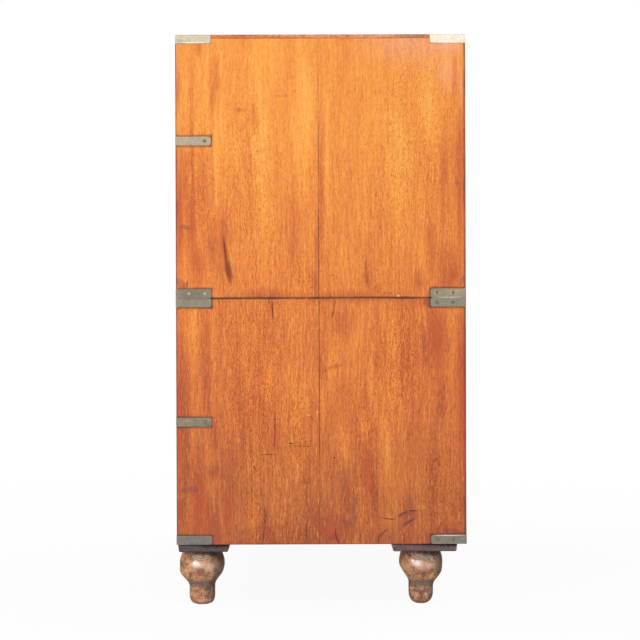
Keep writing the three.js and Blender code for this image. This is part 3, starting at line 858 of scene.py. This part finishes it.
# Cuts one object with another and keeps the result in the mesh
def carve(piece, cutter, operation="DIFFERENCE"):
    cut = piece.modifiers.new("cut", "BOOLEAN")
    cut.operation = operation
    cut.solver = "EXACT"
    cut.object = cutter
    bpy.context.view_layer.update()
    result = bpy.data.meshes.new_from_object(piece.evaluated_get(bpy.context.evaluated_depsgraph_get()))
    piece.modifiers.clear()
    old = piece.data
    piece.data = result
    bpy.data.meshes.remove(old)
    bpy.data.objects.remove(cutter)
    piece.data.name = piece.name
    return piece


# Smooth over eased edges, with flat faces kept flat by weighting, then carried by a body of the part
def place(piece, body, slot, *replaced):
    mesh = piece.data
    mesh.polygons.foreach_set("use_smooth", [True] * len(mesh.polygons))
    mesh.set_sharp_from_angle(angle=math.radians(50))
    weighted = piece.modifiers.new("weighted", "WEIGHTED_NORMAL")
    weighted.weight = 100
    weighted.keep_sharp = True
    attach(piece, body)
    if replaced:
        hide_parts(*replaced)


# Boards of the two cases: easing of their edges, where boards meet, and where the polish begins
caseBoards = {
    "easing": 0.5 * mm,
    "plankEasing": 1.2 * mm,
    "rightJoint": -3.6 * mm,  # between the two boards of an end
    "leftJoint": 14.4 * mm,
    "topJoint": 31 * mm,
    "polishedFront": -0.252,
    "polishedRear": 0.252,
    "polishedSide": 0.4765,
    "polishedTopEnd": 0.47,
    "polishedTop": 0.99,
}


def makeCaseBoards():
    make = caseBoards
    for node in nodes:
        if not node.startswith(("upper_", "lower_")):
            continue
        outer = "rail"
        inner = "inside"
        axis = "Y"
        joints = []
        easing = make["easing"]
        if "_side_" in node:
            outer = {"upper_side_right": "upperEnd", "lower_side_right": "lowerEnd"}.get(node, "farEnd")
            inner = "insideEnd"
            joints = [make["rightJoint"] if node.endswith("right") else make["leftJoint"]]
        elif node == "upper_top":
            outer = "top"
            joints = [make["topJoint"]]
        elif node.endswith("_back"):
            outer = "back"
            inner = "back"
            axis = "X"
            joints = plankJoints
            easing = make["plankEasing"]
        elif node == "upper_upright":
            outer = "upright"
        whole = bmesh.new()
        for plank in boardsCut(copyOf(node), axis, joints):
            joinInto(whole, easeEdges(plank, easing))
        for face in whole.faces:
            x, y, z = face.calc_center_median()
            polished = y < make["polishedFront"]
            if "_side_" in node:
                polished = polished or abs(x) > make["polishedSide"] or y > make["polishedRear"]
            elif node == "upper_top":
                polished = polished or z > make["polishedTop"] or abs(x) > make["polishedTopEnd"]
            face.material_index = 0 if polished else 1
        title = node.replace("_", " ").title().replace(" ", "")
        piece = asObject(whole, title + "Board", finishes[outer], finishes[inner])
        place(piece, bodyOf[node], "case_wood", node)


makeCaseBoards()
print("case boards made")


# Brass angles and straps: rounded free corners, countersunk screws
brassFittings = {
    "cornerRounding": 3.4 * mm,
    "outerRounding": 4 * mm,
    "easing": 0.35 * mm,
    "freeEnd": 60 * mm,  # past this from the corner, an arm's end is free
    "thick": (1 * mm, 3 * mm),  # an edge of this length goes through the brass
    "screwRadius": 2.9 * mm,
    "headThick": 0.4 * mm,
    "headSunk": 0.08 * mm,
    "holeRadius": 3.5 * mm,
    "holeDepth": 0.5 * mm,
    "slotWidth": 1 * mm,
    "slotFloor": -0.05 * mm,
    "screwPlaces": (23 * mm, 51 * mm),  # from the corner along an arm
    "strapScrewPlaces": (51.5 * mm,),
    "topScrewInset": 8 * mm,
}
# Screws that look different on the end shown: filed flush ones hardly show
filedArms = {"corner_lower_top_front_right", "corner_top_front_right", "corner_lower_base_front_right",
             "corner_top_rear_right"}
brightArms = {"corner_upper_base_front_right"}


def screwHead(middle, outward, angle, radius, sunk):
    fit = brassFittings
    head = cylinderAlong("Z", radius, fit["headThick"], (0, 0, 0))
    reach = radius * 1.2  # past the rim at both ends of the slot
    half = fit["slotWidth"] / 2
    slot = boxBetween((-reach, -half, fit["slotFloor"]), (reach, half, 1 * mm))
    piece = carve(asObject(head, "headWork"), asObject(slot, "slotWork"))
    result = bmesh.new()
    result.from_mesh(piece.data)
    bpy.data.objects.remove(piece)
    spin = Matrix.Rotation(angle, 4, "Z")
    facing = Vector(outward).to_track_quat("Z", "Y").to_matrix().to_4x4()
    seat = Matrix.Translation(Vector(middle) - Vector(outward) * (fit["headThick"] / 2 + sunk))
    bmesh.ops.transform(result, matrix=seat @ facing @ spin, verts=result.verts)
    return result


# The corner of the chest that a fitting is on, and the way out from the middle, across and along
def cornerOf(node):
    low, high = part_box(node)
    outX = 1 if high.x > 0 else -1
    outY = 1 if high.y > 0 else -1
    return high.x if outX > 0 else low.x, high.y if outY > 0 else low.y, outX, outY


def armScrews(node):
    low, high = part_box(node)
    cornerX, cornerY, outX, outY = cornerOf(node)
    middleZ = (low.z + high.z) / 2
    inset = brassFittings["topScrewInset"]
    spots = []
    for distance in brassFittings["strapScrewPlaces" if node.startswith("strap_") else "screwPlaces"]:
        alongX = cornerX - outX * distance
        alongY = cornerY - outY * distance
        spots.append(((cornerX, alongY, middleZ), (outX, 0, 0)))
        spots.append(((alongX, cornerY, middleZ), (0, outY, 0)))
        if node.startswith("corner_top"):
            spots.append(((cornerX - outX * inset, alongY, high.z), (0, 0, 1)))
            spots.append(((alongX, cornerY - outY * inset, high.z), (0, 0, 1)))
    return spots


# A block whose long top edges are rounded where the chest's own corner is
def roundedBlock(node):
    cornerX, cornerY, outX, outY = cornerOf(node)
    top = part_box(node)[1].z
    reach = 90 * mm
    deep = 40 * mm
    acrossX = sorted([cornerX, cornerX - outX * reach])
    acrossY = sorted([cornerY, cornerY - outY * reach])
    block = boxBetween((acrossX[0], acrossY[0], top - deep), (acrossX[1], acrossY[1], top))

    def topEdge(edge):
        ends = [vertex.co for vertex in edge.verts]
        outer = all(abs(end.y - cornerY) < touching for end in ends)
        outer = outer or all(abs(end.x - cornerX) < touching for end in ends)
        return outer and min(end.z for end in ends) > top - touching

    return asObject(easeEdges(block, brassFittings["outerRounding"], 5, topEdge), "roundingWork")


def makeBrass():
    fit = brassFittings
    for order, node in enumerate(sorted(nodes)):
        if not node.startswith(("corner_", "strap_")):
            continue
        work = copyOf(node)
        cornerX, cornerY = cornerOf(node)[:2]

        def freeCorner(edge):  # the short edges through the thickness at the far end of each arm
            ends = [vertex.co for vertex in edge.verts]
            away = [max(abs(end.x - cornerX), abs(end.y - cornerY)) for end in ends]
            return min(away) > fit["freeEnd"] and fit["thick"][0] < edge.calc_length() < fit["thick"][1]

        easeEdges(work, fit["cornerRounding"], 4, freeCorner)
        easeEdges(work, fit["easing"])
        plate = asObject(work, node + "_brass", finishes["brass"])
        if node.startswith("corner_top"):
            plate = carve(plate, roundedBlock(node), "INTERSECT")
        cutter = bmesh.new()
        heads = bmesh.new()
        for index, (middle, outward) in enumerate(armScrews(node)):
            axis = "XYZ"[[abs(part) for part in outward].index(1)]
            turn = 0.5 + 1.7 * index + 0.9 * order  # each slot lies another way
            joinInto(cutter, cylinderAlong(axis, fit["holeRadius"], 2 * fit["holeDepth"], middle))
            joinInto(heads, screwHead(middle, outward, turn, fit["screwRadius"], fit["headSunk"]))
        plate = carve(plate, asObject(cutter, "cutterWork"))
        place(plate, bodyOf[node], "brass", node)
        look = "brass" if node in filedArms else "brightScrew" if node in brightArms else "dullScrew"
        place(asObject(heads, node + "_screws", finishes[look]), bodyOf[node], "brass")


makeBrass()
print("brass fitted")


backScrews = {
    "radius": 3.4 * mm,
    "proud": 0.3 * mm,
    "edge": 9 * mm,
    "fromJoint": 38 * mm,
}


# Screws along the top and bottom of each back, two to a plank
def makeBackScrews():
    for node in ("upper_back", "lower_back"):
        low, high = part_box(node)
        joints = [low.x, *plankJoints, high.x]
        rearY = high.y + backScrews["proud"]
        heads = bmesh.new()
        for left, right in zip(joints, joints[1:]):
            for x in (left + backScrews["fromJoint"], right - backScrews["fromJoint"]):
                for z in (low.z + backScrews["edge"], high.z - backScrews["edge"]):
                    turn = x * 31 + z * 17
                    joinInto(heads, screwHead((x, rearY, z), (0, 1, 0), turn, backScrews["radius"], 0))
        place(asObject(heads, node + "_screws", finishes["dullScrew"]), bodyOf[node], "brass")


makeBackScrews()
print("backs screwed on")


# Turned feet: radius and height of the turns of the outline, from the floor to the batten, in
# millimetres. Each pair was turned by eye, so they differ.
footTurning = {
    "front": [(11.5, 0), (18, 2.6), (21.4, 8.2), (22.7, 16), (22.9, 33), (25.8, 40.4), (36.8, 54.5),
              (39.4, 65), (39.7, 75.5), (38.1, 84), (33.8, 96)],
    "rear": [(9, 0), (14.2, 2.4), (19.1, 8.2), (21.6, 17), (22, 33), (24.1, 41), (33.2, 54.4),
             (38.2, 68.6), (37.8, 83), (33.6, 96)],
    "spigot": [(12, 96), (12, 115), (11, 116), (0, 116)],
    "stepsBetween": 4,
    "steps": 72,
    "worn": {"front": 1.7 * mm, "rear": 3 * mm},  # how far a bulb is worn out of round
    "wornHeight": 51 * mm,
    "wornReach": 20 * mm,
}


# A flowing line through the given points
def flowing(points, steps):
    line = []
    padded = [points[0], *points, points[-1]]
    for before, start, end, after in zip(padded, padded[1:], padded[2:], padded[3:]):
        leaving = (Vector(end) - Vector(before)) / 2
        arriving = (Vector(after) - Vector(start)) / 2
        for step in range(steps):
            part = step / steps
            blend = part * part * (3 - 2 * part)
            bend = leaving * part * (1 - part) ** 2 - arriving * part * part * (1 - part)
            line.append(Vector(start).lerp(Vector(end), blend) + bend)
    return [*line, Vector(points[-1])]


def makeFeet():
    turning = footTurning
    for node in nodes:
        if not node.startswith("foot_"):
            continue
        low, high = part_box(node)
        middle = (low + high) / 2
        end = "front" if "front" in node else "rear"
        outline = [(0, 0), *flowing(turning[end], turning["stepsBetween"]), *turning["spigot"]]
        work = bmesh.new()
        points = [work.verts.new((radius * mm, 0, height * mm)) for radius, height in outline]
        line = [work.edges.new(pair) for pair in zip(points, points[1:])]
        bmesh.ops.spin(work, geom=points + line, axis=(0, 0, 1), cent=(0, 0, 0), angle=2 * math.pi,
                       steps=turning["steps"], use_merge=True)
        bmesh.ops.remove_doubles(work, verts=work.verts, dist=joining)
        bmesh.ops.recalc_face_normals(work, faces=work.faces)
        fromAxis = work.verts.layers.float_vector.new("fromAxis")
        outward = 1 if middle.x > 0 else -1
        wear = math.copysign(turning["worn"][end], middle.y)
        for vertex in work.verts:
            vertex[fromAxis] = (vertex.co.x * outward, vertex.co.y, vertex.co.z)
            apart = min(1, abs(vertex.co.z - turning["wornHeight"]) / turning["wornReach"])
            vertex.co.y += wear * (1 - apart ** 2) ** 2
        bmesh.ops.translate(work, vec=(middle.x, middle.y, 0), verts=work.verts)
        place(asObject(work, node + "_turned", finishes["foot"]), bodyOf[node], "foot_wood", node)


battenPlaning = {
    "easing": 2.2 * mm,
    "keptSharp": 4 * mm,  # under the top, where a batten meets the case
    "shortest": 12 * mm,
}


def makeBattens():
    make = battenPlaning
    for node in ("batten_front", "batten_rear"):
        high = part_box(node)[1]

        def lowerEdge(edge):
            middleZ = (edge.verts[0].co.z + edge.verts[1].co.z) / 2
            return middleZ < high.z - make["keptSharp"] and edge.calc_length() > make["shortest"]

        work = easeEdges(copyOf(node), make["easing"], 3, lowerEdge, angle=40)
        place(asObject(work, node + "_planed", finishes[node]), bodyOf[node], "batten_wood", node)


makeFeet()
makeBattens()
print("feet and battens made")


# Drawers: front with half-blind dovetails, sides, back and bottom
drawerMaking = {
    "frontThick": 20 * mm,
    "frontEasing": 0.6 * mm,
    "lap": 5 * mm,  # front wood in front of the tails
    "sideThick": 10 * mm,
    "sideDrop": 4 * mm,
    "sideEasing": 1.2 * mm,
    "backDrop": 7 * mm,
    "backEasing": 1 * mm,
    "bottomThick": 6 * mm,
    "bottomLift": 8 * mm,
    "bottomEasing": 0.5 * mm,
    "wide": 0.6,  # a wider drawer has two bottom panels with a muntin between them
    "muntinHalf": 22 * mm,
    "muntinProud": 3 * mm,
    "muntinEasing": 2 * mm,
    "tailPitch": 46 * mm,
    "pinHalf": 3.2 * mm,
    "tailSlope": 1 / 6,
    "socketClear": 1 * mm,
    "longEdge": 0.3,  # longer than any edge of a tail
    "gap": 0.1 * mm,  # between boards that would touch
    "keyDrop": 26 * mm,
}


# Outline of a drawer's side, with its tails at the front
def tailedOutline(x, low, high):
    make = drawerMaking
    root = low.y + make["frontThick"]
    tip = low.y + make["lap"]
    head = high.z - make["sideDrop"]
    count = round((head - low.z) / make["tailPitch"])
    pitch = (head - low.z) / count
    wide = pitch / 2 - make["pinHalf"]
    narrow = wide - (root - tip) * make["tailSlope"]
    points = [(x, high.y, head), (x, high.y, low.z), (x, root, low.z)]
    for index in range(count):
        middle = low.z + (index + 0.5) * pitch
        points += [(x, root, middle - narrow), (x, tip, middle - wide)]
        points += [(x, tip, middle + wide), (x, root, middle + narrow)]
    return [*points, (x, root, head)]


keyhole = {
    "radius": 2.3 * mm,
    "slotHalf": 1.15 * mm,
    "slotDrop": 7.5 * mm,
    "throughFront": 12 * mm,
    "throughRose": 5 * mm,
}


# A round hole over a slot, cut as one outline
def keyholeCutter(x, y, z, depth):
    rim = [math.radians(-60 + 15 * step) for step in range(21)]  # open below, for the slot
    outline = [(math.cos(angle) * keyhole["radius"], math.sin(angle) * keyhole["radius"]) for angle in rim]
    outline += [(-keyhole["slotHalf"], -keyhole["slotDrop"]), (keyhole["slotHalf"], -keyhole["slotDrop"])]
    points = [(x + across, y - depth, z + up) for across, up in outline]
    return asObject(extruded(points, (0, 2 * depth, 0)), "keyWork")


def makeDrawer(node):
    make = drawerMaking
    gap = make["gap"]
    body = bodyOf[node]
    low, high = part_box(node)
    keyX = (low.x + high.x) / 2
    keyZ = high.z - make["keyDrop"]
    frontRear = low.y + make["frontThick"]
    backFront = high.y - make["sideThick"]
    sideTop = high.z - make["sideDrop"]

    def faceEdge(edge):
        return max(vertex.co.y for vertex in edge.verts) < low.y + touching

    def topEdge(edge):
        lowest = min(vertex.co.z for vertex in edge.verts)
        return lowest > sideTop - touching and edge.calc_length() > make["longEdge"]

    frontBoard, rest = halves(copyOf(node), "Y", frontRear - 2 * gap)
    rest.free()
    easeEdges(frontBoard, make["frontEasing"], 2, faceEdge)
    front = asObject(frontBoard, node + "_front", finishes[node])
    sides = bmesh.new()
    sockets = bmesh.new()
    for outside, inward in ((low.x, 1), (high.x, -1)):
        past = inward * make["socketClear"]
        push = inward * make["sideThick"]
        joinInto(sides, extruded(tailedOutline(outside, low, high), (push, 0, 0)))
        joinInto(sockets, extruded(tailedOutline(outside - past, low, high), (push + past, 0, 0)))
    front = carve(front, asObject(sockets, "socketWork"))
    front = carve(front, keyholeCutter(keyX, low.y, keyZ, keyhole["throughFront"]))
    place(front, body, "drawer_wood", node)
    easeEdges(sides, make["sideEasing"], 2, topEdge)
    place(asObject(sides, node + "_sides", finishes["lining"]), body, "drawer_wood")
    left = low.x + make["sideThick"] + gap
    right = high.x - make["sideThick"] - gap
    floorZ = low.z + make["bottomLift"]
    back = boxBetween((left, backFront, floorZ), (right, high.y, high.z - make["backDrop"]))
    easeEdges(back, make["backEasing"])
    place(asObject(back, node + "_back", finishes["liningAcross"]), body, "drawer_wood")
    floorTop = floorZ + make["bottomThick"]
    floor = boxBetween((left, frontRear, floorZ), (right, backFront - gap, floorTop))
    if high.x - low.x > make["wide"]:
        half = make["muntinHalf"]
        proud = make["muntinProud"]
        panels = [easeEdges(panel, make["bottomEasing"], 1) for panel in boardsCut(floor, "X", [keyX])]
        muntin = boxBetween((keyX - half, frontRear, floorZ - proud),
                            (keyX + half, backFront, floorTop + proud))
        floor = joinInto(bmesh.new(), *panels, easeEdges(muntin, make["muntinEasing"]))
    place(asObject(floor, node + "_bottom", finishes["liningAcross"]), body, "drawer_wood")
    makeLock(node, keyX, keyZ, low, high, body)


lockMaking = {
    "roseRadius": 9.5 * mm,
    "roseThick": 0.8 * mm,
    "roseProud": 0.25 * mm,
    "roseEasing": 0.2 * mm,
    "plateHalf": 31 * mm,
    "plates": [(1 * mm, 0.6 * mm, 40 * mm), (9 * mm, 0.5 * mm, 1 * mm)],  # into the front, out of it, down
    "plateProud": 0.15 * mm,
    "plateEasing": 0.15 * mm,
}


# Lock: a brass rose round the keyhole, a plate inside and its edge along the top of the front
def makeLock(node, keyX, keyZ, low, high, body):
    lock = lockMaking
    roseY = low.y - lock["roseProud"] + lock["roseThick"] / 2
    rose = cylinderAlong("Y", lock["roseRadius"], lock["roseThick"], (keyX, roseY, keyZ), 48)
    easeEdges(rose, lock["roseEasing"])
    rose = asObject(rose, node + "_key_rose", finishes["handleBrass"])
    place(carve(rose, keyholeCutter(keyX, low.y, keyZ, keyhole["throughRose"])), body, "brass")
    left = keyX - lock["plateHalf"]
    right = keyX + lock["plateHalf"]
    rear = low.y + drawerMaking["frontThick"]
    top = high.z + lock["plateProud"]
    plates = bmesh.new()
    for into, out, down in lock["plates"]:
        joinInto(plates, boxBetween((left, rear - into, high.z - down), (right, rear + out, top)))
    easeEdges(plates, lock["plateEasing"], 1)
    place(asObject(plates, node + "_lock_plate", finishes["handleBrass"]), body, "brass")


# Flush handles: pan with screws, and a swinging bail
handleMaking = {
    "bailRounding": 1.7 * mm,
    "plateEasing": 0.35 * mm,
    "screwRadius": 2.4 * mm,
    "holeClear": 0.3 * mm,
    "holeDepth": 0.8 * mm,
    "screwInset": 4.6 * mm,
    "screwDrop": 5.06 * mm,
    "screwSunk": 0.06 * mm,
}


def makeHandle(plateNode):
    fit = handleMaking
    body = bodyOf[plateNode]
    low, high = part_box(plateNode)
    plate = easeEdges(copyOf(plateNode), fit["plateEasing"])
    plate = asObject(plate, plateNode + "_brass", finishes["handleBrass"])
    cutter = bmesh.new()
    heads = bmesh.new()
    columns = (low.x + fit["screwInset"], high.x - fit["screwInset"])
    rows = (low.z + fit["screwDrop"], (low.z + high.z) / 2, high.z - fit["screwDrop"])
    spots = [(x, low.y, z) for x in columns for z in rows]
    for index, spot in enumerate(spots):
        turn = 0.4 + 1.3 * index
        joinInto(cutter, cylinderAlong("Y", fit["screwRadius"] + fit["holeClear"], fit["holeDepth"], spot))
        joinInto(heads, screwHead(spot, (0, -1, 0), turn, fit["screwRadius"], fit["screwSunk"]))
    place(carve(plate, asObject(cutter, "cutterWork")), body, "brass", plateNode)
    place(asObject(heads, plateNode + "_screws", finishes["handleScrew"]), body, "brass")
    bailNode = plateNode.replace("plate_", "bail_")
    bail = easeEdges(copyOf(bailNode), fit["bailRounding"], 3)
    bail = asObject(bail, bailNode + "_cast", finishes["handleBrass"])
    place(bail, bodyOf[bailNode], "brass", bailNode)


for node in list(nodes):
    if node.startswith(("short_drawer", "long_drawer")):
        makeDrawer(node)
    elif node.startswith("plate_"):
        makeHandle(node)
print("drawers, locks and handles made")


# Floor, lamps and the white room
studio = {
    "floor": tone(238, 238, 236),
    "floorHalf": 9,
    "white": (1, 1, 1, 1),
    "shadow": (0.8, 2.6, 0.94, 1),  # the floor clears to white between these two distances
    "ambient": 0.41,
    "lamps": [  # name, place, what it points at, size, power
        ("frontKeyLamp", (2.3, -1.7, 2.3), (0.48, 0, 0.78), 1.2, 26),
        ("rearKeyLamp", (2.3, 1.7, 2.3), (0.48, 0, 0.78), 1.2, 24),
        ("lowLamp", (2.6, -2.0, 0.27), (0.45, -0.1, 0.1), 0.5, 15),
        ("frontLamp", (-0.9, -2.9, 2.2), (0, -0.2, 0.5), 1.6, 45),
        ("farLamp", (-2.6, 1.9, 2.3), (-0.4, 0, 0.5), 1.6, 50),
    ],
}


# Rays that see the white surroundings and not the light that they give
def viewingRays(paint):
    rays = ("Is Camera Ray", "Is Glossy Ray", "Is Transmission Ray")
    return paint.highest([paint.node("ShaderNodeLightPath", output=name) for name in rays])


def makeFloor():
    paint = Paint(bpy.data.materials.new("floorPaint"))
    clear = paint.smooth(paint.length(paint.place), *studio["shadow"])
    shade = paint.node("ShaderNodeBsdfDiffuse", {}, {"Color": studio["floor"]})
    glow = paint.node("ShaderNodeEmission", {}, {"Color": studio["white"], "Strength": 1})
    mixed = paint.node("ShaderNodeMixShader", {}, {0: viewingRays(paint) * clear, 1: shade, 2: glow})
    paint.node("ShaderNodeOutputMaterial", {}, {"Surface": mixed})
    work = bmesh.new()
    bmesh.ops.create_grid(work, x_segments=1, y_segments=1, size=studio["floorHalf"])
    asObject(work, "floor", paint.owner)


def makeRoom():
    room = Paint(bpy.data.worlds.new("room"))
    soft = room.node("ShaderNodeBackground", {}, {"Color": studio["white"], "Strength": studio["ambient"]})
    white = room.node("ShaderNodeBackground", {}, {"Color": studio["white"], "Strength": 1})
    blend = room.node("ShaderNodeMixShader", {}, {0: viewingRays(room), 1: soft, 2: white})
    room.node("ShaderNodeOutputWorld", {}, {"Surface": blend})
    bpy.context.scene.world = room.owner


def makeLamps():
    for name, spot, target, size, power in studio["lamps"]:
        lamp = bpy.data.lights.new(name, "AREA")
        lamp.shape = "SQUARE"
        lamp.size = size
        lamp.energy = power
        holder = bpy.data.objects.new(name, lamp)
        aim = (Vector(target) - Vector(spot)).to_track_quat("-Z", "Y").to_matrix().to_4x4()
        holder.matrix_world = Matrix.Translation(spot) @ aim
        bpy.context.scene.collection.objects.link(holder)


makeFloor()
makeRoom()
makeLamps()
bpy.context.scene.view_settings.view_transform = "Standard"
print("studio set")
